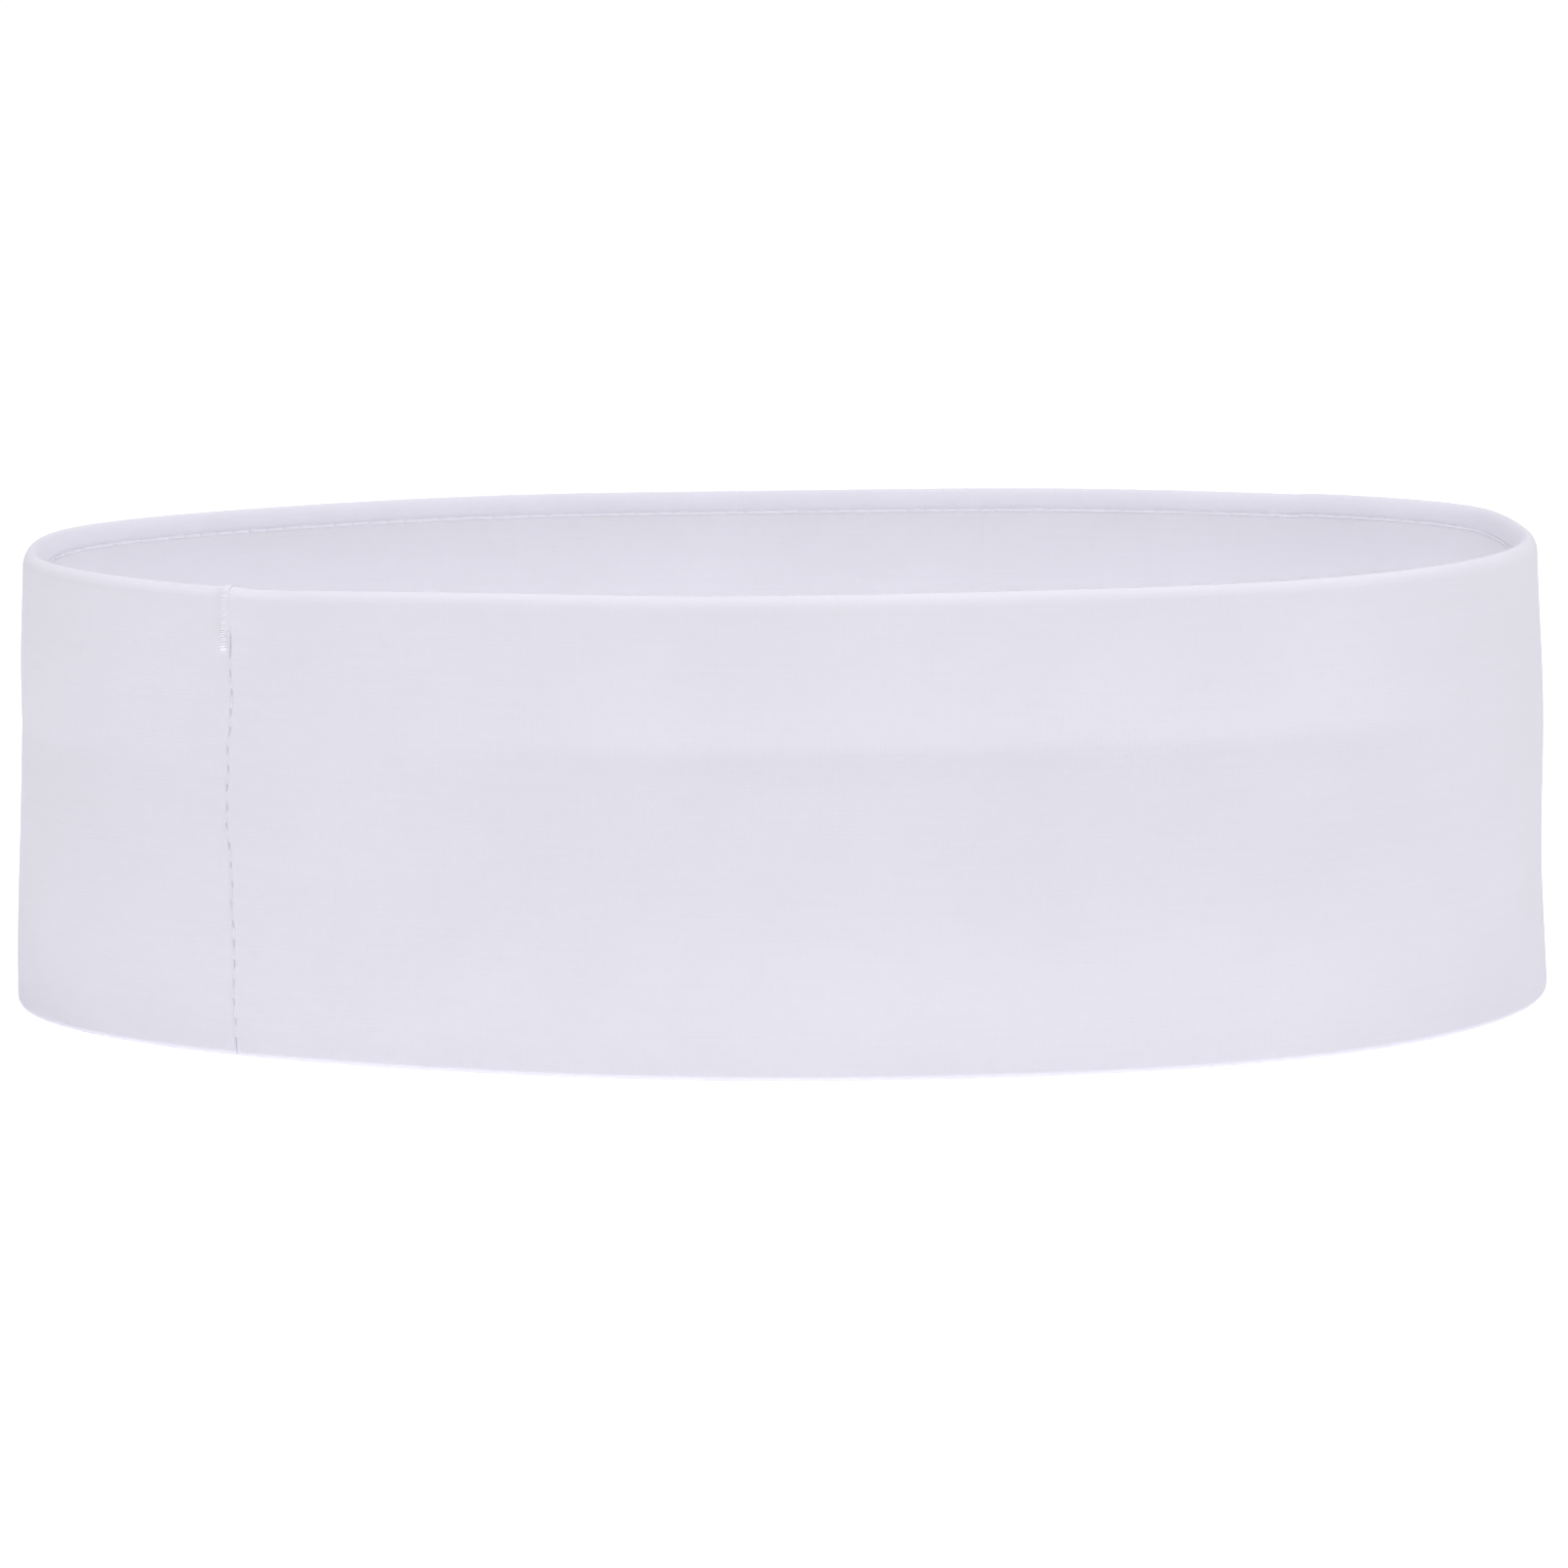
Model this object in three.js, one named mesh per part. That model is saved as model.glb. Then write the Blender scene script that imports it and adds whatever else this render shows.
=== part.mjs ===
// A sports headband: two strips of jersey sewn together along both long edges and closed into
// an oval ring, standing on its bottom edge. Millimetres, +Z up, the front of the ring at -Y.
import * as THREE from 'three'

// Ring
const HEIGHT = 60
const HALF_LENGTH = 101 // along X, at half height
const HALF_DEPTH = 51.5 // along Y, before the harmonics below
const LEAN = 0.023 // how much longer the bottom edge is than the top edge, as a share
const SEAM_ANGLE = THREE.MathUtils.degToRad(237) // of the closing seam, front left

// The oval's departures from an ellipse, as shares of its half sizes
const BLUNT_ENDS = -0.1
const FULL_FRONT = -0.1
const EGG = 0.04
const BOW = 0.06
const SKEW = 0.045

// Wall: four thicknesses of jersey where the layers turn in at a long seam
const JERSEY = 0.5
const LAYER_GAP = 0.3
const PITCH = JERSEY + LAYER_GAP
const WALL = 4 * JERSEY + 3 * LAYER_GAP
const SEAM_DROP = 3 // from each folded edge to its long seam, on the inside
const ALLOWANCE = 6 // fabric turned in past a seam
const JOG = 2 * PITCH // height over which the outer panel slips behind the lining
const FOOT_RADIUS = 0.7 // centreline radius at both sides of the flat bottom edge

// Stitching
const THREAD_RADIUS = 0.2
const STITCH_RADIUS = 0.3
const SLIT = 1.2 // between the two short ends of a panel, filled by its seam thread
const THREAD_BELOW_SEAM = 0.22
const TURN_BELOW_SEAM = 1.3
const GAP_STITCH = 9 // length of the edge-stitch that shuts the turning gap
const PROUD = 0.15 // how far the edge-stitch stands out of the face

const RING_STEPS = 72

/** Radial position of the middle of layer 0 (outer face) to 3 (inner face). */
const track = layer => JERSEY / 2 + layer * PITCH

/** The outer face at half height, seen from above, from the closing seam anticlockwise. */
class RingPlan extends THREE.Curve {
  constructor() {
    super()
    this.arcLengthDivisions = 1440
    this.centre = new THREE.Vector3()
    const samples = Array.from({ length: 720 }, (_, i) => this.getPoint(i / 720))
    this.centre = new THREE.Box3().setFromPoints(samples).getCenter(new THREE.Vector3())
  }

  getPoint(share, target = new THREE.Vector3()) {
    const a = SEAM_ANGLE + 2 * Math.PI * share
    const x = (Math.cos(a) + BLUNT_ENDS * Math.cos(3 * a)) / (1 + BLUNT_ENDS)
    const front = Math.sin(a) + FULL_FRONT * Math.sin(3 * a) + EGG * Math.sin(2 * a)
    const y = front + BOW * Math.cos(2 * a) + SKEW * Math.cos(3 * a)
    return target.set(HALF_LENGTH * x, HALF_DEPTH * y, 0).sub(this.centre)
  }
}

const plan = new RingPlan()
const circumference = plan.getLength()

/** The point at a distance along the ring, a depth into the wall and a height. */
function onWall(along, depth, height) {
  const share = THREE.MathUtils.euclideanModulo(along / circumference, 1)
  const tangent = plan.getTangentAt(share)
  const inward = new THREE.Vector3(-tangent.y, tangent.x, 0)
  const scale = 1 + LEAN * (0.5 - height / HEIGHT)
  const point = plan.getPointAt(share).multiplyScalar(scale).addScaledVector(inward, depth)
  return point.setZ(height)
}

/** Points (depth, height) on an arc; 0 degrees points into the ring, 90 up. */
function arc(depth, height, radius, from, to, steps) {
  return Array.from({ length: steps + 1 }, (_, i) => {
    const a = THREE.MathUtils.degToRad(from + ((to - from) * i) / steps)
    return new THREE.Vector2(depth + radius * Math.cos(a), height + radius * Math.sin(a))
  })
}

/** The closed outline of a layer of jersey whose middle follows the given points. */
function layerOutline(middle) {
  const left = []
  const right = []
  middle.forEach((point, i) => {
    const before = middle[Math.max(i - 1, 0)]
    const after = middle[Math.min(i + 1, middle.length - 1)]
    const into = point.clone().sub(before).normalize()
    const outOf = after.clone().sub(point).normalize()
    const along = into.clone().add(outOf).normalize()
    const mitre = JERSEY / 2 / along.dot(i ? into : outOf)
    const sideways = new THREE.Vector2(-along.y, along.x).multiplyScalar(mitre)
    left.push(point.clone().add(sideways))
    right.push(point.clone().sub(sideways))
  })
  return [...right, ...left.reverse()]
}

/** Sweeps an anticlockwise outline (depth, height) along the ring, as an open or a closed loop. */
function sweep(outline, from, to) {
  const isLoop = to - from >= circumference
  const rows = isLoop ? RING_STEPS : RING_STEPS + 1
  const positions = []
  for (let row = 0; row < rows; row++) {
    const along = from + ((to - from) * row) / RING_STEPS
    outline.forEach(p => positions.push(...onWall(along, p.x, p.y)))
  }
  const count = outline.length
  const faces = []
  for (let row = 0; row < RING_STEPS; row++) {
    const here = row * count
    const next = ((row + 1) % rows) * count
    for (let i = 0; i < count; i++) {
      const j = (i + 1) % count
      faces.push(here + i, here + j, next + i, here + j, next + j, next + i)
    }
  }
  if (!isLoop) {
    const last = RING_STEPS * count
    for (const [a, b, c] of THREE.ShapeUtils.triangulateShape(outline, [])) {
      faces.push(c, b, a, last + a, last + b, last + c)
    }
  }
  const geometry = new THREE.BufferGeometry()
  geometry.setAttribute('position', new THREE.Float32BufferAttribute(positions, 3))
  geometry.setIndex(faces)
  geometry.computeVertexNormals()
  return geometry
}

/** The outer panel: over the top fold, down the face, under the foot, turned in at both ends. */
function outerPanelOutline() {
  const topSeam = HEIGHT - SEAM_DROP
  const fold = (track(3) - track(0)) / 2
  const foot = JERSEY / 2 + FOOT_RADIUS
  return layerOutline([
    new THREE.Vector2(track(1), topSeam - ALLOWANCE),
    new THREE.Vector2(track(1), topSeam - JOG / 2),
    new THREE.Vector2(track(3), topSeam + JOG / 2),
    ...arc(track(0) + fold, HEIGHT - JERSEY / 2 - fold, fold, 0, 180, 8),
    ...arc(track(0) + FOOT_RADIUS, foot, FOOT_RADIUS, 180, 270, 2),
    ...arc(track(3) - FOOT_RADIUS, foot, FOOT_RADIUS, 270, 360, 2),
    new THREE.Vector2(track(3), SEAM_DROP - JOG / 2),
    new THREE.Vector2(track(1), SEAM_DROP + JOG / 2),
    new THREE.Vector2(track(1), SEAM_DROP + ALLOWANCE)
  ])
}

/** The lining: a flat strip whose two long edges turn back between the layers. */
function liningOutline() {
  const topSeam = HEIGHT - SEAM_DROP
  const middle = (track(2) + track(3)) / 2
  const turn = PITCH / 2
  return layerOutline([
    new THREE.Vector2(track(2), SEAM_DROP + ALLOWANCE),
    ...arc(middle, SEAM_DROP + TURN_BELOW_SEAM, turn, 180, 360, 6),
    ...arc(middle, topSeam - TURN_BELOW_SEAM, turn, 0, 180, 6),
    new THREE.Vector2(track(2), topSeam - ALLOWANCE)
  ])
}

/** A loop of thread that runs round the inside at one height. */
function ringThread(height) {
  const outline = arc(WALL - THREAD_RADIUS, height, THREAD_RADIUS, 0, 300, 5)
  return sweep(outline, 0, circumference)
}

/** A round cord along points given as (depth, height) at the closing seam. */
function seamCord(points, radius, steps) {
  const path = new THREE.CatmullRomCurve3(points.map(p => onWall(0, p.x, p.y)))
  const section = new THREE.Shape(arc(0, 0, radius, 0, 315, 7))
  return new THREE.ExtrudeGeometry(section, { steps, extrudePath: path })
}

/** Straight stitching up one layer of the wall. */
function seamThread(layer, from, to) {
  const ends = [new THREE.Vector2(track(layer), from), new THREE.Vector2(track(layer), to)]
  return seamCord(ends, THREAD_RADIUS, 4)
}

/** The edge-stitch: up the last of the face and over the top fold to the inside. */
function gapStitch() {
  const fold = (track(3) - track(0)) / 2
  const foldHeight = HEIGHT - JERSEY / 2 - fold
  const face = track(0) - PROUD
  return seamCord(
    [
      new THREE.Vector2(face, HEIGHT - GAP_STITCH),
      new THREE.Vector2(face, (HEIGHT - GAP_STITCH + foldHeight) / 2),
      ...arc(track(0) + fold, foldHeight, fold, 180, 0, 6),
      new THREE.Vector2(track(3), foldHeight - LAYER_GAP)
    ],
    STITCH_RADIUS,
    20
  )
}

const white = new THREE.MeshStandardMaterial({ color: 0xe4e2ee, roughness: 0.9, metalness: 0 })
const liningWhite = new THREE.MeshStandardMaterial({ color: 0xdfddea, roughness: 0.95, metalness: 0 })
const threadWhite = new THREE.MeshStandardMaterial({ color: 0xd6d4e0, roughness: 0.7, metalness: 0 })

const group = new THREE.Group()

function addPiece(name, geometry, material) {
  const mesh = new THREE.Mesh(geometry, material.clone())
  mesh.name = name
  group.add(mesh)
}

const ends = [SLIT / 2, circumference - SLIT / 2]
const topThread = HEIGHT - SEAM_DROP - THREAD_BELOW_SEAM
const bottomThread = SEAM_DROP + THREAD_BELOW_SEAM
const stitchFoot = HEIGHT - GAP_STITCH - LAYER_GAP

addPiece('outer_shell', sweep(outerPanelOutline(), ...ends), white)
addPiece('inner_lining', sweep(liningOutline(), ...ends), liningWhite)
addPiece('top_seam_thread', ringThread(topThread), threadWhite)
addPiece('bottom_seam_thread', ringThread(bottomThread), threadWhite)
addPiece('closing_seam_thread', seamThread(0, WALL / 2, stitchFoot), threadWhite)
addPiece('lining_seam_thread', seamThread(3, bottomThread + WALL / 2, topThread - WALL / 2), threadWhite)
addPiece('gap_edge_stitch', gapStitch(), threadWhite)

export default group
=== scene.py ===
"""The looks of a jersey headband: detailed fabric and stitches in place of its plain CAD solids.

Shapes are worked out in millimetres and written in metres, in the CAD frame: the band stands on
its bottom edge, its length along X, its front at -Y. A place on the wall is (along, depth,
height): the distance round the ring anticlockwise from the closing seam, the distance into the
wall from the outer face, and the height.
"""

import math

import bpy
import numpy as np
from mathutils import Matrix, Vector


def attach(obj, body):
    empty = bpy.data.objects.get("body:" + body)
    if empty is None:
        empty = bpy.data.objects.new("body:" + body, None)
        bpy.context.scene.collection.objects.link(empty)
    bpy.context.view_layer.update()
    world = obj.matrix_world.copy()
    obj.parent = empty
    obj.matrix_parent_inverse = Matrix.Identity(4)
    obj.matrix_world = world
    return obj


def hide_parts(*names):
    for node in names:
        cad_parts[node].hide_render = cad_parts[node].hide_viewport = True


MM = 0.001

# The ring, as in the CAD
HEIGHT = 60.0
HALF_LENGTH = 101.0  # along X, at half height
HALF_DEPTH = 51.5  # along Y, before the harmonics below
LEAN = 0.023  # how much longer the bottom edge is than the top edge, as a share
SEAM_ANGLE = math.radians(237)  # of the closing seam, front left

# The oval's departures from an ellipse, as shares of its half sizes
BLUNT_ENDS = -0.1
FULL_FRONT = -0.1
EGG = 0.04
BOW = 0.06
SKEW = 0.045

# The wall: layer 0 is the outer face, 3 the inner face
LAYER = 0.5
LAYER_GAP = 0.3
PITCH = LAYER + LAYER_GAP
WALL = 3 * PITCH + LAYER
JERSEY = 0.4  # thickness of the fabric itself, which fills most of its layer
SEAM_DROP = 3.0  # from each folded edge to its long seam, on the inside
ALLOWANCE = 6.0  # fabric turned in past a seam
FOOT_RADIUS = 0.7  # centreline radius at both sides of the flat bottom edge
SHOULDER = 1.8  # height in which the top fold rounds over on the outside
SLANT = 0.55  # how far the inside of the top fold is flattened into a slope, as a share

# The ditch that the long seams lie in
ROLL = 0.23  # centreline radius of the fabric where it rolls into a seam
ROLL_GAP = 0.03  # between the two panels' rolls
ROLL_RISE = 0.45  # from the height of the seam to the start of the outer panel's roll

# Creases along the wall, each in the bottom of a shallow valley: height of the crease, then how
# far the valley reaches above and below it, and its depth
FRONT_FOLD = (40.5, 15, 18)
FRONT_FOLD_IN = 1.25
LEFT_FOLD = (37, 16, 14)
LEFT_FOLD_IN = 0.45
LEFT_START = (-2, -14)  # where a fold begins and where it is full, along from the closing seam
LEFT_END = (-70, -30)
FRONT_START = (10, 70)
FRONT_END = (172, 135)

# The belly of the front below its fold, and the flare of its foot
BELLY_HEIGHT = 18
BELLY_REACH = 10.5
BELLY_OUT = 1.3
FLARE_HEIGHT = 22
FLARE_OUT = 0.8

# Shallow waves all over: size, distance per radian up and along, and of their swell along
WAVES = ((0.25, 9.0, 31.0, 47.0, 1.0), (0.12, 5.3, -17.0, 23.0, 0.0))

# The top edge: its slope along X, its waves and how far the closing seam pulls it down
EDGE_SLOPE = 0.24
EDGE_WAVE = 0.1
EDGE_WAVE_LENGTH = 13.0  # per radian
PULL_LEFT = 0.55
PULL_LEFT_REACH = 20
PULL_RIGHT = 0.75
PULL_RIGHT_REACH = 24
EDGE_FROM = 20  # height from which the wall follows its top edge

# The closing seam: its course up the wall, and how its two ends roll into it
SEAM_FOOT_SIDE = 0.95
SEAM_SLANT = 0.022
SEAM_KINK = 0.25
SEAM_KINK_HEIGHTS = (53, 57)
SEAM_SWAY = 0.9
SEAM_SWAY_HEIGHT = 33
SEAM_SWAY_REACH = 9
SEAM_RIPPLES = ((0.1, 1.7, 0.0), (0.07, 0.83, 1.0))  # size, height per radian, phase
SEAM_REACH = 22  # how far round the ring the fabric moves with the seam
SEAM_GAP = -0.02  # between the two short ends of a panel, which press into each other
SEAM_ROLL = 0.6  # radius of the roll
FACE_DEPTHS = (WALL * 0.75, 0.3)  # depths from which to which the seam's relief grows to full
PINCH_HEIGHTS = (HEIGHT - 6.5, HEIGHT - 3.5)
PINCH_SHARE = 0.9  # of the roll that the edge-stitch pulls flat

# The gathers beside the closing seam: size, radians per mm up and along, phase
GATHERS = ((0.05, 1.9, 0.6, 0), (0.04, 3.1, 0, 2))
GATHER_REACH = 5
GATHER_START = (0.2, 1.2)  # distances from the seam between which they begin

# The edge-stitch: its ridge left of the closing seam, which widens to its right at the top
GAP_STITCH = 8.2  # length of the edge-stitch, down from the top edge
RIDGE_WIDTH = 1.2
RIDGE_HEIGHT = 0.45
RIDGE_SIDE = -0.75
RIDGE_START = 1.2  # height in which it rises from its foot
RIDGE_SPREAD = (0.4, 1.6)  # share of the width at the foot, and what the top adds
SPREAD_HEIGHTS = (HEIGHT - 6.5, HEIGHT - 2.5)
RIDGE_LIFT = 0.6  # how far it lifts the top fold, as a share of its height
KNOT_HEIGHT = 0.3
KNOT_SIDE = RIDGE_SIDE - 0.5
KNOT_UP = 0.7  # above the foot of the ridge
KNOT_WIDTH = 0.8
KNOT_LENGTH = 0.6

# Stitches of the long seams: radius of the thread, spacing, length, and how far the ends sink
LONG_STITCH = 0.3
LONG_SPACING = 2.6
LONG_LENGTH = 3.4
LONG_SINK = 0.04

# Stitches of the closing seams: as above, and how far past the middle of their layer they lie
SHORT_STITCH = 0.13
SHORT_SPACING = 2.4
SHORT_LENGTH = 1.9
SHORT_DEPTH = 0.1
SHORT_SINK = 0.15
CLOSING_FOOT = 2.0  # height at which they start

# Stitches over the ridge
EDGE_STITCH = 0.19
EDGE_COUNT = 22
EDGE_HALF_LENGTH = 0.45
EDGE_LEAN = 0.1
EDGE_DEPTH = 0.13
EDGE_SINK = 0.08
EDGE_ABOVE_FOOT = 0.6
EDGE_BELOW_TOP = 1.0

# How each stitch is made
STITCH_POINTS = 7
EDGE_POINTS = 9
THREAD_SIDES = 8
THREAD_END = 0.02  # least share of the thread's cross-section left at its ends
THREAD_SIDEWAYS = (0.31, 0.17, 0.93)  # a direction that no stitch runs along

# How finely the ring and the fabric are divided
RING_SAMPLES = 7200
TANGENT_REACH = 0.5
STEP_ALONG = 1.8
STEP_SEAM = 0.09
STEP_GROWTH = 1.12
FINE_REACH = 2.6  # distance from the closing seam that keeps the finest steps
STEP_UP = 1.0
SAME_PLACE = 1e-6  # points closer than this are one point
SHARP_ANGLE = math.radians(50)

# The knit, in metres: a column of stitches and a row of them
WALE = 0.00060
COURSE = 0.00048
THREAD_TWIST = 0.0006

# How much the knit's relief darkens its low places in the colour (painted shade), and how much the
# cloth and its yarn change the tone at random, as shares
KNIT_PAINTED_SHADE = 0.016
CLOUD_SHADE = 0.05
SLUB_SHADE = 0.03

# Colours
OUTER_WHITE = (0.842, 0.826, 0.914)
# The lining is whiter than the outer jersey: painted light, brightening the inside of the ring
# where less light comes up from the floor
LINING_WHITE_PAINTED_LIGHT = (0.864, 0.851, 0.919)
THREAD_WHITE = (0.905, 0.888, 0.975)

# The camera, in millimetres and degrees
CAMERA_PLACE = (-46.62, -688.27, 148.03)
CAMERA_TURN = -3.85
CAMERA_DIP = 9.94
CAMERA_ROLL = -0.30
CAMERA_LENS = 121.2

# Lamps aimed at the band: name, place and size in metres, power in watts
SOFT_BOXES = (
    ("top_box", (0.09, -0.15, 1.0), 0.8, 9.7),
    ("left_box", (-0.75, -0.1, 0.7), 0.6, 1.0),
)
SKY_STRENGTH = 0.1

# The floor, in metres, and how strongly it glows near the band and away from it
FLOOR_HALF = 6.0
GLOW_NEAR = 0.2
GLOW_FAR = 0.9
GLOW_AT_NEAR = 0.56
GLOW_AT_FAR = 0.95


# ---------------------------------------------------------------- the ring


def ring_table():
    """Distances round the ring at half height from the closing seam, with the points there."""
    angle = SEAM_ANGLE + np.linspace(0, 2 * np.pi, RING_SAMPLES + 1)
    x = (np.cos(angle) + BLUNT_ENDS * np.cos(3 * angle)) / (1 + BLUNT_ENDS)
    front = np.sin(angle) + FULL_FRONT * np.sin(3 * angle) + EGG * np.sin(2 * angle)
    y = front + BOW * np.cos(2 * angle) + SKEW * np.cos(3 * angle)
    points = np.column_stack([HALF_LENGTH * x, HALF_DEPTH * y])
    points -= (points.min(axis=0) + points.max(axis=0)) / 2
    steps = np.linalg.norm(np.diff(points, axis=0), axis=1)
    return np.concatenate([[0], np.cumsum(steps)]), points


RING_S, RING_XY = ring_table()
CIRCUMFERENCE = RING_S[-1]


def ring_at(along):
    """Points and inward directions at distances round the ring."""
    s = np.mod(along, CIRCUMFERENCE)
    point = np.stack([np.interp(s, RING_S, RING_XY[:, i]) for i in (0, 1)], axis=-1)
    ahead = np.mod(s + TANGENT_REACH, CIRCUMFERENCE)
    behind = np.mod(s - TANGENT_REACH, CIRCUMFERENCE)
    tangent = np.stack(
        [
            np.interp(ahead, RING_S, RING_XY[:, i]) - np.interp(behind, RING_S, RING_XY[:, i])
            for i in (0, 1)
        ],
        axis=-1,
    )
    tangent /= np.linalg.norm(tangent, axis=-1, keepdims=True)
    inward = np.stack([-tangent[..., 1], tangent[..., 0]], axis=-1)
    return point, inward


def on_wall(along, depth, height):
    """The places on the wall as points, in metres."""
    along, depth, height = np.broadcast_arrays(along, depth, height)
    point, inward = ring_at(along)
    scale = 1 + LEAN * (0.5 - height / HEIGHT)
    flat = point * scale[..., None] + inward * depth[..., None]
    return np.concatenate([flat, height[..., None]], axis=-1) * MM


# ---------------------------------------------------------------- how the fabric lies


def bump(x, half_width):
    """1 in the middle, falling smoothly to 0 by about two half widths."""
    return np.exp(-((x / half_width) ** 2))


def ramp(x, start, end):
    """0 before start, 1 after end, smooth between them. end may be below start."""
    t = np.clip((x - start) / (end - start), 0, 1)
    return t * t * (3 - 2 * t)


def fold_line(height, crease, above, below):
    """A valley along the wall: 1 in the crease, curving away to 0 over the given heights."""
    up = np.maximum(height - crease, 0) / above
    down = np.maximum(crease - height, 0) / below
    return np.maximum(1 - up - down, 0) ** 2


def from_seam(along):
    """The signed distance from the closing seam, to the nearer side."""
    return np.mod(along + CIRCUMFERENCE / 2, CIRCUMFERENCE) - CIRCUMFERENCE / 2


def drape(along, height):
    """How far the wall stands out where the soft fabric waves, both layers together."""
    s = from_seam(along)
    front = ramp(s, *FRONT_START) * ramp(s, *FRONT_END)
    left = ramp(s, *LEFT_START) * ramp(s, *LEFT_END)
    belly = BELLY_OUT * bump(height - BELLY_HEIGHT, BELLY_REACH)
    flare = FLARE_OUT * ramp(height, FLARE_HEIGHT, 0)
    out = (belly + flare - FRONT_FOLD_IN * fold_line(height, *FRONT_FOLD)) * front
    out -= LEFT_FOLD_IN * fold_line(height, *LEFT_FOLD) * left
    for size, up, across, swell, phase in WAVES:
        out += size * np.sin(height / up + s / across) * np.sin(s / swell + phase)
    return out


def seam_wander(height):
    """How far the closing seam runs to the side of a straight line up the wall."""
    side = SEAM_FOOT_SIDE - SEAM_SLANT * height + SEAM_KINK * ramp(height, *SEAM_KINK_HEIGHTS)
    side -= SEAM_SWAY * bump(height - SEAM_SWAY_HEIGHT, SEAM_SWAY_REACH)
    for size, up, phase in SEAM_RIPPLES:
        side += size * np.sin(height / up + phase)
    return side


def edge_rise(along):
    """How far the top edge stands above or below its mean height."""
    s = from_seam(along)
    point, _ = ring_at(along)
    left = PULL_LEFT * bump(s, PULL_LEFT_REACH)
    right = PULL_RIGHT * bump(s, PULL_RIGHT_REACH)
    slope = EDGE_SLOPE * point[..., 0] / HALF_LENGTH
    return slope - np.where(s < 0, left, right) + EDGE_WAVE * np.sin(s / EDGE_WAVE_LENGTH)


def settle(along, depth, height):
    """Moves places on the plain wall to where the soft fabric really lies."""
    s = from_seam(along)
    upper = ramp(height, EDGE_FROM, HEIGHT)
    side = seam_wander(height) * bump(s, SEAM_REACH)
    return along + side, depth - drape(along, height), height + edge_rise(along) * upper


def seam_roll(s, height):
    """How far the outer face dips where its two short ends roll into the closing seam."""
    pinched = ramp(height, *PINCH_HEIGHTS)
    reach = np.maximum(SEAM_ROLL - np.maximum(np.abs(s) - SEAM_GAP / 2, 0), 0)
    dip = SEAM_ROLL - np.sqrt(SEAM_ROLL**2 - reach**2)
    return dip * (1 - PINCH_SHARE * pinched)


def seam_ridge(s, height):
    """How far the pinched edge-stitch stands out, left of the closing seam."""
    foot = HEIGHT - GAP_STITCH
    length = ramp(height, foot, foot + RIDGE_START)
    narrow, more = RIDGE_SPREAD
    spread = narrow + more * ramp(height, *SPREAD_HEIGHTS)
    slope = RIDGE_WIDTH * np.where(s < RIDGE_SIDE, 1, spread)
    knot = bump(s - KNOT_SIDE, KNOT_WIDTH) * bump(height - foot - KNOT_UP, KNOT_LENGTH)
    return RIDGE_HEIGHT * bump(s - RIDGE_SIDE, slope) * length + KNOT_HEIGHT * knot


def puckers(s, height):
    """Small gathers that run away from the closing seam."""
    near = bump(s, GATHER_REACH) * ramp(np.abs(s), *GATHER_START)
    return near * sum(
        size * np.sin(height * up + along * s + phase) for size, up, along, phase in GATHERS
    )


# ---------------------------------------------------------------- meshes


def arc(depth, height, radius, start, end, steps, stretch=1.0):
    """Points (depth, height) on an arc; 0 degrees points into the ring, 90 up."""
    a = np.radians(np.linspace(start, end, steps + 1))
    return np.column_stack([depth + radius * np.cos(a), height + stretch * radius * np.sin(a)])


def track(layer):
    """The depth of the middle of a layer."""
    return LAYER / 2 + layer * PITCH


def flattened(line, share):
    """The line, drawn this share of the way to its own chord."""
    along = np.linspace(0, 1, len(line))[:, None]
    chord = line[0] + (line[-1] - line[0]) * along
    return line + (chord - line) * share


def resample(points, step):
    """The same line with its straight stretches divided into steps and no point repeated."""
    out = [points[0]]
    for a, b in zip(points[:-1], points[1:]):
        n = int(np.ceil((np.linalg.norm(b - a) - SAME_PLACE) / step))
        out += [a + (b - a) * i / n for i in range(1, n + 1)]
    return np.array(out)


def outer_middle():
    """The middle of the outer panel, from its top turned-in edge to its bottom one."""
    fold = (track(3) - track(0)) / 2
    crest = HEIGHT - LAYER / 2
    dive = HEIGHT - SEAM_DROP + ROLL_RISE
    top = np.concatenate(
        [
            [[track(1), HEIGHT - SEAM_DROP - ALLOWANCE]],
            arc(track(1) + ROLL, dive - 2 * ROLL, ROLL, 180, 90, 4),
            arc(track(3) - ROLL, dive, ROLL, -90, 0, 5),
            flattened(arc(track(0) + fold, dive, fold, 0, 90, 9, (crest - dive) / fold), SLANT),
            arc(track(0) + fold, crest - SHOULDER, fold, 90, 180, 8, SHOULDER / fold),
        ]
    )
    foot = JERSEY / 2 + FOOT_RADIUS
    rise = SEAM_DROP - ROLL_RISE
    bottom = np.concatenate(
        [
            arc(track(0) + FOOT_RADIUS, foot, FOOT_RADIUS, 180, 270, 5),
            arc(track(3) - FOOT_RADIUS, foot, FOOT_RADIUS, 270, 360, 5),
            arc(track(3) - ROLL, rise, ROLL, 0, 90, 5),
            arc(track(1) + ROLL, rise + 2 * ROLL, ROLL, 270, 180, 4),
            [[track(1), SEAM_DROP + ALLOWANCE]],
        ]
    )
    return resample(np.concatenate([top, bottom]), STEP_UP)


def lining_middle():
    """The middle of the lining, from its bottom turned-in edge to its top one."""
    reach = 2 * ROLL + JERSEY + ROLL_GAP
    low = SEAM_DROP - ROLL_RISE + reach
    high = HEIGHT - SEAM_DROP + ROLL_RISE - reach
    middle = track(3) - ROLL
    line = np.concatenate(
        [
            [[middle - ROLL, SEAM_DROP + ALLOWANCE]],
            arc(middle, low, ROLL, 180, 360, 8),
            arc(middle, high, ROLL, 0, 180, 8),
            [[middle - ROLL, HEIGHT - SEAM_DROP - ALLOWANCE]],
        ]
    )
    return resample(line, STEP_UP)


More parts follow.
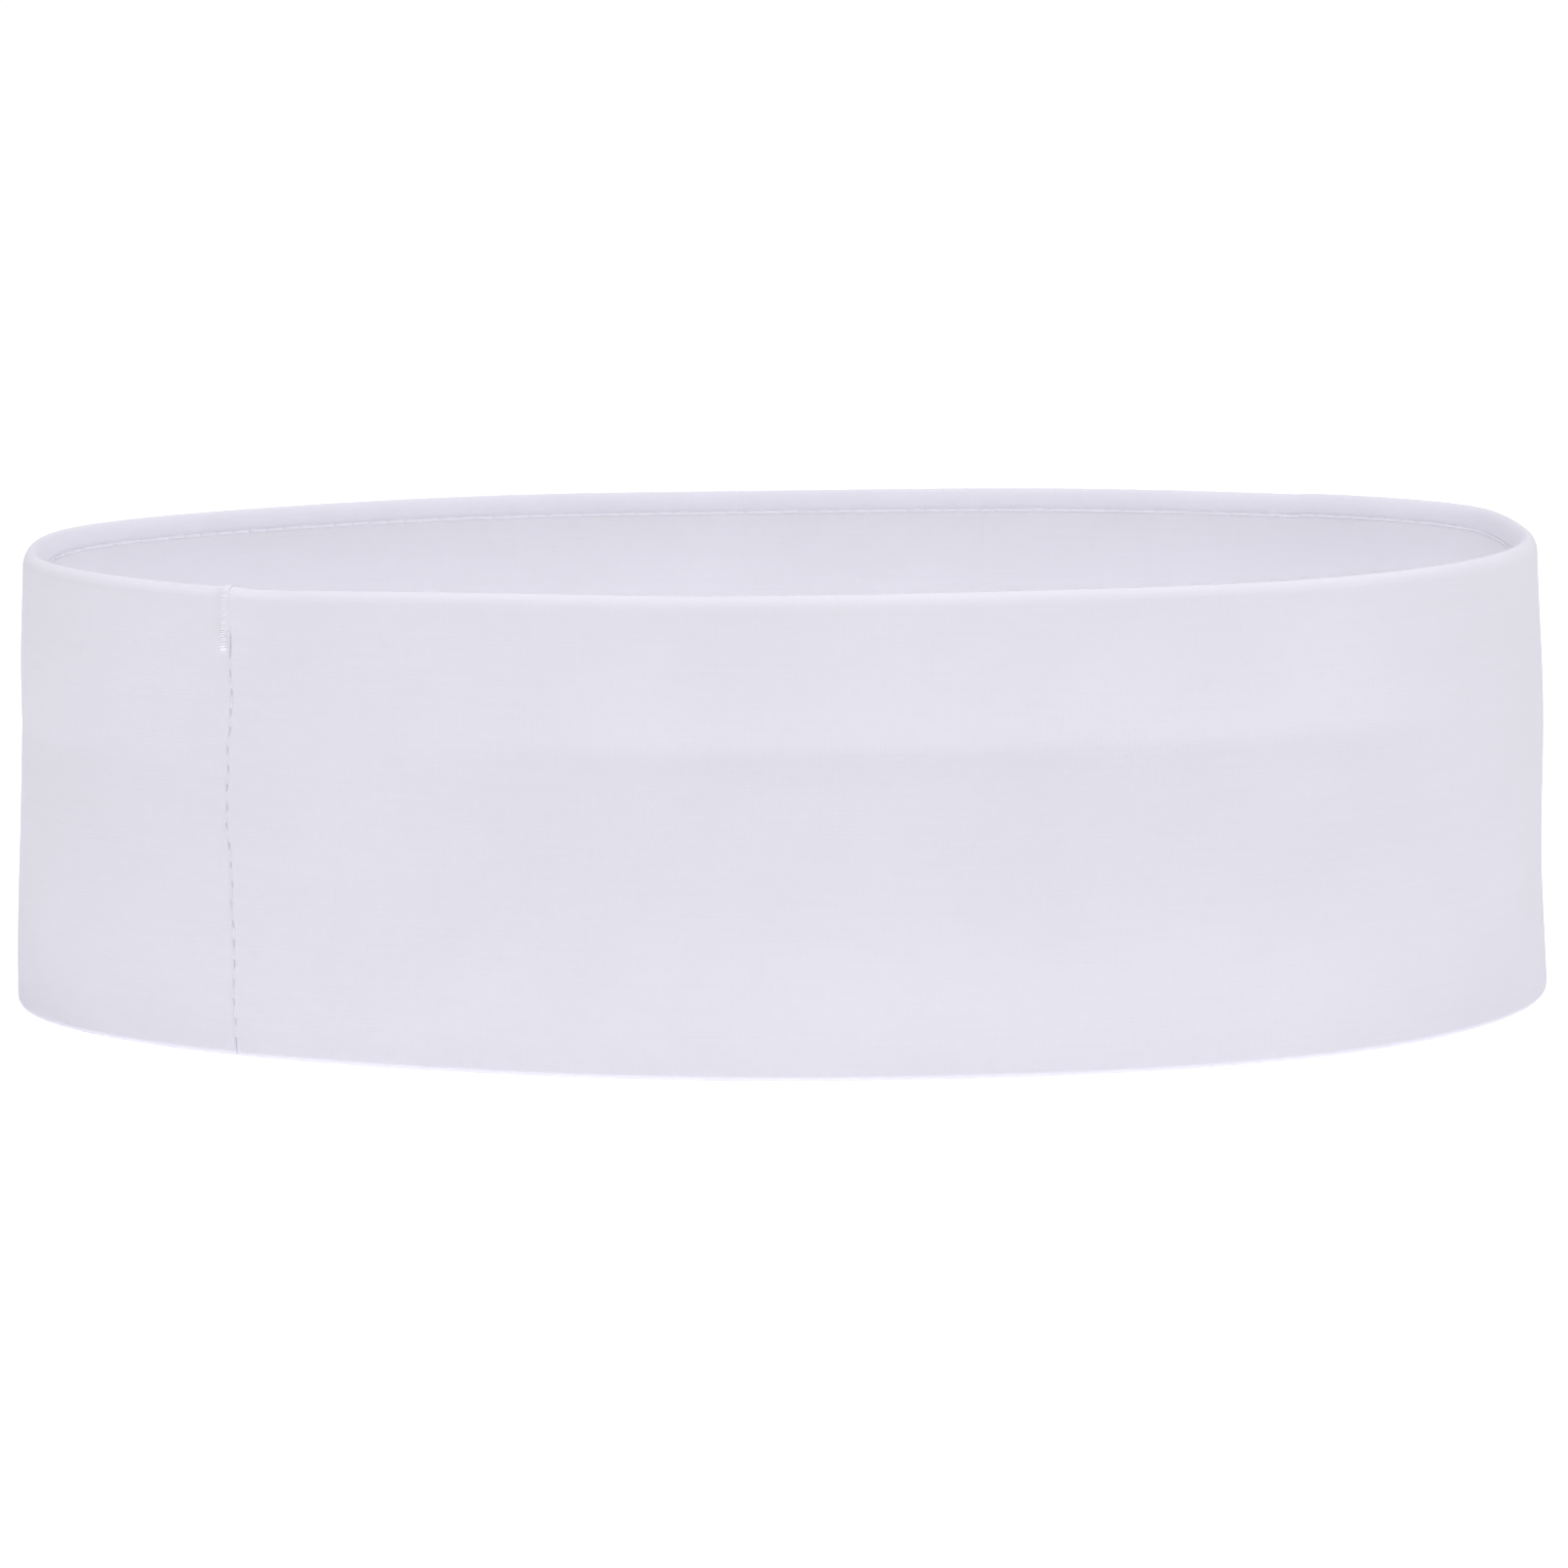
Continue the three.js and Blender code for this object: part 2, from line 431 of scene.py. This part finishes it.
def sideways(line):
    """The unit direction to the left of a line at each of its points."""
    ahead = np.vstack([line[1:], line[-1]])
    behind = np.vstack([line[0], line[:-1]])
    along = ahead - behind
    along /= np.linalg.norm(along, axis=1, keepdims=True)
    return np.column_stack([-along[:, 1], along[:, 0]])


def columns():
    """Distances along a panel from one short end to the other, closest at the closing seam."""
    start = SEAM_GAP / 2
    near = [start]
    step = STEP_SEAM
    while step < STEP_ALONG:
        near.append(near[-1] + step)
        if near[-1] > FINE_REACH:
            step *= STEP_GROWTH
    near = np.array(near)
    middle = CIRCUMFERENCE - 2 * near[-1]
    count = int(round(middle / STEP_ALONG))
    far = near[-1] + middle * np.arange(1, count) / count
    return np.concatenate([near, far, CIRCUMFERENCE - near[::-1]])


def make_object(name, vertices, faces, material, uv=None):
    """A smooth-shaded mesh in the scene, with the cloth coordinates of its vertices if given."""
    mesh = bpy.data.meshes.new(name)
    mesh.from_pydata(vertices.tolist(), [], faces)
    if uv is not None:
        layer = mesh.uv_layers.new(name="Cloth")
        index = np.empty(len(mesh.loops), np.int32)
        mesh.loops.foreach_get("vertex_index", index)
        layer.data.foreach_set("uv", uv[index].astype(np.float32).ravel())
    mesh.polygons.foreach_set("use_smooth", [True] * len(mesh.polygons))
    mesh.set_sharp_from_angle(angle=SHARP_ANGLE)
    mesh.materials.append(material)
    mesh.update()
    obj = bpy.data.objects.new(name, mesh)
    bpy.context.collection.objects.link(obj)
    return obj


def panel(name, middle, shape, material):
    """A strip of jersey with its thickness: the middle line swept round the ring, ends closed."""
    left = middle + sideways(middle) * JERSEY / 2
    right = middle - sideways(middle) * JERSEY / 2
    outline = np.concatenate([right, left[::-1]])
    steps = np.linalg.norm(np.diff(middle, axis=0), axis=1)
    across = np.concatenate([[0], np.cumsum(steps)])
    across = np.concatenate([across, across[::-1]])
    along = columns()
    a, d = np.meshgrid(along, outline[:, 0], indexing="ij")
    h = np.broadcast_to(outline[:, 1], a.shape)
    vertices = on_wall(*settle(*shape(a, d, h))).reshape(-1, 3)
    uv = np.stack([a, np.broadcast_to(across, a.shape)], axis=-1).reshape(-1, 2) * MM

    rows, count = a.shape
    corner = np.arange(rows * count).reshape(rows, count)
    here, beside = corner[:-1], np.roll(corner, -1, axis=1)[:-1]
    after, after_beside = corner[1:], np.roll(corner, -1, axis=1)[1:]
    faces = np.stack([here, beside, after_beside, after], axis=-1).reshape(-1, 4).tolist()
    half = count // 2
    for row, flip in ((0, True), (rows - 1, False)):
        for i in range(half - 1):
            quad = corner[row, [i, i + 1, count - 2 - i, count - 1 - i]].tolist()
            faces.append(quad[::-1] if flip else quad)
    return make_object(name, vertices, faces, material, uv)


def outer_shape(along, depth, height):
    """Adds what only the outer panel does: the closing seam, its ridge and its gathers."""
    s = from_seam(along)
    outside = ramp(depth, *FACE_DEPTHS)
    inward = seam_roll(s, height) - seam_ridge(s, height) - puckers(s, height)
    lift = RIDGE_LIFT * seam_ridge(s, HEIGHT) * ramp(height, HEIGHT - SEAM_DROP, HEIGHT)
    return along, depth + inward * outside, height + lift


def plain_shape(along, depth, height):
    """The lining has nothing of its own to add."""
    return along, depth, height


# ---------------------------------------------------------------- stitches


def thread_pieces(name, paths, radius, material):
    """Short lengths of thread with round ends, each along its own row of points."""
    vertices = []
    faces = []
    for path in paths:
        path = np.asarray(path)
        tangent = np.gradient(path, axis=0)
        tangent /= np.linalg.norm(tangent, axis=1, keepdims=True)
        first = np.cross(tangent, THREAD_SIDEWAYS)
        first /= np.linalg.norm(first, axis=1, keepdims=True)
        second = np.cross(tangent, first)
        share = np.linspace(-1, 1, len(path))
        taper = np.sqrt(np.maximum(1 - np.abs(share) ** 6, THREAD_END))
        base = len(vertices)
        for p, f, g, k in zip(path, first, second, taper):
            for i in range(THREAD_SIDES):
                a = 2 * math.pi * i / THREAD_SIDES
                vertices.append(p + radius * MM * k * (f * math.cos(a) + g * math.sin(a)))
        for row in range(len(path) - 1):
            lower = base + row * THREAD_SIDES
            upper = lower + THREAD_SIDES
            for i in range(THREAD_SIDES):
                j = (i + 1) % THREAD_SIDES
                faces.append([lower + i, lower + j, upper + j, upper + i])
        faces.append([base + i for i in reversed(range(THREAD_SIDES))])
        last = base + (len(path) - 1) * THREAD_SIDES
        faces.append([last + i for i in range(THREAD_SIDES)])
    return make_object(name, np.array(vertices), faces, material)


def long_seam_paths(height):
    """Overlapping stitches in the ditch of a long seam, each sinking a little at its ends."""
    count = int(CIRCUMFERENCE / LONG_SPACING)
    share = np.linspace(-1, 1, STITCH_POINTS)
    depth = WALL - LONG_STITCH - LONG_SINK * share**6
    paths = []
    for i in range(count):
        along = (i + 0.5) * CIRCUMFERENCE / count + share * LONG_LENGTH / 2
        paths.append(on_wall(*settle(along, depth, np.full(STITCH_POINTS, height))))
    return paths


def closing_seam_paths(layer, low, high):
    """Stitches up the closing seam, sunk between the two ends of a layer."""
    count = int((high - low) / SHORT_SPACING)
    share = np.linspace(-1, 1, STITCH_POINTS)
    depth = track(layer) + SHORT_DEPTH + SHORT_SINK * share**4
    paths = []
    for i in range(count):
        height = low + (i + 0.5) * (high - low) / count + share * SHORT_LENGTH / 2
        paths.append(on_wall(*settle(np.zeros(STITCH_POINTS), depth, height)))
    return paths


def ridge_paths():
    """The edge-stitch: close stitches over the ridge, sunk until they only just show."""
    share = np.linspace(-1, 1, EDGE_POINTS)
    s = RIDGE_SIDE + EDGE_HALF_LENGTH * share
    lowest = HEIGHT - GAP_STITCH + EDGE_ABOVE_FOOT
    highest = HEIGHT - EDGE_BELOW_TOP
    paths = []
    for middle in np.linspace(lowest, highest, EDGE_COUNT):
        height = middle + EDGE_LEAN * share
        depth = EDGE_DEPTH - seam_ridge(s, height) + EDGE_SINK * share**4
        paths.append(on_wall(*settle(s, depth, height)))
    return paths


# ---------------------------------------------------------------- materials


# The colour sockets of a mix node, which share their names with its other sockets
MIX_A = 6
MIX_B = 7
MIX_RESULT = 2


class Nodes:
    """A short way to write a node tree."""

    def __init__(self, material):
        material.use_nodes = True
        self.tree = material.node_tree
        self.shader = self.tree.nodes["Principled BSDF"]

    def node(self, kind, inputs=(), **settings):
        """A new node with these settings, each input linked to a socket or set to a value."""
        node = self.tree.nodes.new(kind)
        for key, value in settings.items():
            setattr(node, key, value)
        for socket, value in dict(inputs).items():
            if isinstance(value, bpy.types.NodeSocket):
                self.tree.links.new(value, node.inputs[socket])
            else:
                node.inputs[socket].default_value = value
        return node

    def math(self, operation, *values):
        return self.node("ShaderNodeMath", enumerate(values), operation=operation).outputs[0]

    def link(self, source, socket):
        self.tree.links.new(source, self.shader.inputs[socket])


def knit_height(n, u, v):
    """The relief of plain jersey: columns of V-shaped stitches."""
    column = n.math("DIVIDE", u, WALE)
    middle = n.math("ABSOLUTE", n.math("SUBTRACT", n.math("FRACT", column), 0.5))
    leg = n.math("SINE", n.math("MULTIPLY", middle, 2 * math.pi))
    row = n.math("ADD", n.math("DIVIDE", v, COURSE), n.math("MULTIPLY", middle, 1.3))
    loop = n.math("MULTIPLY_ADD", n.math("SINE", n.math("MULTIPLY", row, 2 * math.pi)), 0.35, 0.65)
    return n.math("MULTIPLY", leg, loop)


def jersey(name, colour):
    """Fine matte jersey: a V-stitch knit, soft fuzz and a faint unevenness of the yarn."""
    material = bpy.data.materials.new(name)
    n = Nodes(material)
    cloth = n.node("ShaderNodeUVMap", uv_map="Cloth").outputs[0]
    parts = n.node("ShaderNodeSeparateXYZ", {0: cloth})
    relief = knit_height(n, parts.outputs[0], parts.outputs[1])

    place = n.node("ShaderNodeTexCoord").outputs["Object"]
    fuzz = n.node("ShaderNodeTexNoise", {"Vector": place, "Scale": 2600.0, "Detail": 2.0})
    cloud = n.node("ShaderNodeTexNoise", {"Vector": place, "Scale": 55.0, "Detail": 3.0})
    along_yarn = n.node("ShaderNodeMapping", {"Vector": cloth, "Scale": (60, 2100, 1)}).outputs[0]
    slub = n.node("ShaderNodeTexNoise", {"Vector": along_yarn, "Scale": 1.0})

    # Painted shade: the colour darkens in the low places of the knit's relief; the cloud and slub
    # noises add random tone
    tone_and_painted_shade = n.math("MULTIPLY_ADD", relief, KNIT_PAINTED_SHADE, 1 - KNIT_PAINTED_SHADE / 2)
    for noise, contrast in ((cloud, CLOUD_SHADE), (slub, SLUB_SHADE)):
        around_zero = n.math("SUBTRACT", noise.outputs[0], 0.5)
        tone_and_painted_shade = n.math("MULTIPLY_ADD", around_zero, contrast, tone_and_painted_shade)
    grey = n.node("ShaderNodeCombineColor", {i: tone_and_painted_shade for i in range(3)}).outputs[0]
    tint = n.node(
        "ShaderNodeMix",
        {"Factor": 1.0, MIX_A: (*colour, 1), MIX_B: grey},
        data_type="RGBA",
        blend_type="MULTIPLY",
    )
    n.link(tint.outputs[MIX_RESULT], "Base Color")

    height = n.math("MULTIPLY_ADD", fuzz.outputs[0], 0.5, relief)
    bumps = n.node("ShaderNodeBump", {"Height": height, "Strength": 0.16, "Distance": 0.00012})
    n.link(bumps.outputs[0], "Normal")
    rough = n.math("MULTIPLY_ADD", relief, -0.06, 0.92)
    n.link(rough, "Roughness")
    n.shader.inputs["Specular IOR Level"].default_value = 0.25
    n.shader.inputs["Sheen Weight"].default_value = 0.12
    n.shader.inputs["Sheen Roughness"].default_value = 0.5
    return material


def thread(name, colour):
    """Spun sewing thread: a slanted twist along each stitch."""
    material = bpy.data.materials.new(name)
    n = Nodes(material)
    place = n.node("ShaderNodeTexCoord").outputs["Object"]
    twist = n.node(
        "ShaderNodeTexWave",
        {"Vector": place, "Scale": 0.16 / THREAD_TWIST, "Distortion": 1.0},
        bands_direction="DIAGONAL",
    )
    fibre = n.node("ShaderNodeTexNoise", {"Vector": place, "Scale": 6000.0})
    height = n.math("MULTIPLY_ADD", fibre.outputs[0], 0.4, twist.outputs[1])
    bumps = n.node("ShaderNodeBump", {"Height": height, "Strength": 0.5, "Distance": 0.00008})
    n.link(bumps.outputs[0], "Normal")
    n.link(n.math("MULTIPLY_ADD", fibre.outputs[0], 0.2, 0.55), "Roughness")
    n.shader.inputs["Base Color"].default_value = (*colour, 1)
    n.shader.inputs["Sheen Weight"].default_value = 0.1
    return material


# ---------------------------------------------------------------- camera, floor and light


def add_camera():
    """A long lens in front of the band, a little above it and to its left."""
    data = bpy.data.cameras.new("camera")
    data.lens = CAMERA_LENS
    data.sensor_width = 36
    data.clip_start = 0.01
    camera = bpy.data.objects.new("camera", data)
    bpy.context.collection.objects.link(camera)
    turn = Matrix.Rotation(math.radians(CAMERA_TURN), 4, "Z")
    tilt = Matrix.Rotation(math.radians(90 - CAMERA_DIP), 4, "X")
    roll = Matrix.Rotation(math.radians(CAMERA_ROLL), 4, "Z")
    place = Matrix.Translation(Vector(CAMERA_PLACE) * MM)
    camera.matrix_world = place @ turn @ tilt @ roll
    bpy.context.scene.camera = camera


def add_floor():
    """A plain white floor, lit from beneath like a light table, more so away from the lamps."""
    half = FLOOR_HALF
    corners = [(-half, -half, 0), (half, -half, 0), (half, half, 0), (-half, half, 0)]
    material = bpy.data.materials.new("floor")
    n = Nodes(material)
    n.shader.inputs["Base Color"].default_value = (0.9, 0.9, 0.9, 1)
    n.shader.inputs["Roughness"].default_value = 0.9
    n.shader.inputs["Specular IOR Level"].default_value = 0.0
    n.shader.inputs["Emission Color"].default_value = (1, 1, 1, 1)
    place = n.node("ShaderNodeTexCoord").outputs["Object"]
    distance = n.node("ShaderNodeVectorMath", {0: place}, operation="LENGTH").outputs["Value"]
    glow = n.node(
        "ShaderNodeMapRange",
        {
            "Value": distance,
            "From Min": GLOW_NEAR,
            "From Max": GLOW_FAR,
            "To Min": GLOW_AT_NEAR,
            "To Max": GLOW_AT_FAR,
        },
    )
    n.link(glow.outputs[0], "Emission Strength")
    floor = make_object("floor", np.array(corners, float), [[0, 1, 2, 3]], material)


def add_light():
    """Soft boxes overhead and to the left, and a faint sky; the floor's glow is set with the
    floor.
    """
    world = bpy.data.worlds.new("studio")
    world.use_nodes = True
    background = world.node_tree.nodes["Background"]
    background.inputs["Color"].default_value = (1, 1, 1, 1)
    background.inputs["Strength"].default_value = SKY_STRENGTH
    bpy.context.scene.world = world

    for name, place, size, power in SOFT_BOXES:
        data = bpy.data.lights.new(name, "AREA")
        data.size = size
        data.energy = power
        lamp = bpy.data.objects.new(name, data)
        bpy.context.collection.objects.link(lamp)
        lamp.location = place
        lamp.rotation_euler = (-lamp.location).to_track_quat("-Z", "Y").to_euler()
    bpy.context.scene.view_settings.view_transform = "Standard"


# ---------------------------------------------------------------- the band


def stitch_rows():
    """Name, thread radius, CAD node and paths of each seam's stitches."""
    foot = HEIGHT - GAP_STITCH
    top = long_seam_paths(HEIGHT - SEAM_DROP)
    bottom = long_seam_paths(SEAM_DROP)
    closing = closing_seam_paths(0, CLOSING_FOOT, foot)
    lining = closing_seam_paths(3, 2 * SEAM_DROP, HEIGHT - 2 * SEAM_DROP)
    return (
        ("top_seam_stitches", LONG_STITCH, "top_seam_thread", top),
        ("bottom_seam_stitches", LONG_STITCH, "bottom_seam_thread", bottom),
        ("closing_seam_stitches", SHORT_STITCH, "closing_seam_thread", closing),
        ("lining_seam_stitches", SHORT_STITCH, "lining_seam_thread", lining),
        ("edge_stitches", EDGE_STITCH, "gap_edge_stitch", ridge_paths()),
    )


def add_stitches():
    white_thread = thread("white_thread", THREAD_WHITE)
    for name, radius, node, paths in stitch_rows():
        stitches = thread_pieces(name, paths, radius, white_thread)
        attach(stitches, "root")
        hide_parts(node)


def add_panel(name, node, slot, middle, shape, colour):
    """A panel in place of its CAD solid."""
    obj = panel(name, middle, shape, jersey(slot, colour))
    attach(obj, "root")
    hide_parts(node)


def add_band():
    outer = outer_middle()
    lining = lining_middle()
    add_panel("outer_panel", "outer_shell", "outer_jersey", outer, outer_shape, OUTER_WHITE)
    # The lining's whiter colour is painted light for the shaded inside of the ring
    add_panel("lining_panel", "inner_lining", "lining_jersey", lining, plain_shape, LINING_WHITE_PAINTED_LIGHT)
    add_stitches()


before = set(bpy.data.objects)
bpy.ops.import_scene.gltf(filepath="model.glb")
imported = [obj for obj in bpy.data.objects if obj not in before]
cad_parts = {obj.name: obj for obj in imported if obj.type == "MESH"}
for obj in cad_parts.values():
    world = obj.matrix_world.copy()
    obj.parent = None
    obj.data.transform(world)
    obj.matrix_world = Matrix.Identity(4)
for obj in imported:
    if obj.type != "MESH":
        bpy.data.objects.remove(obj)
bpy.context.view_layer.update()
add_camera()
add_floor()
add_light()
add_band()
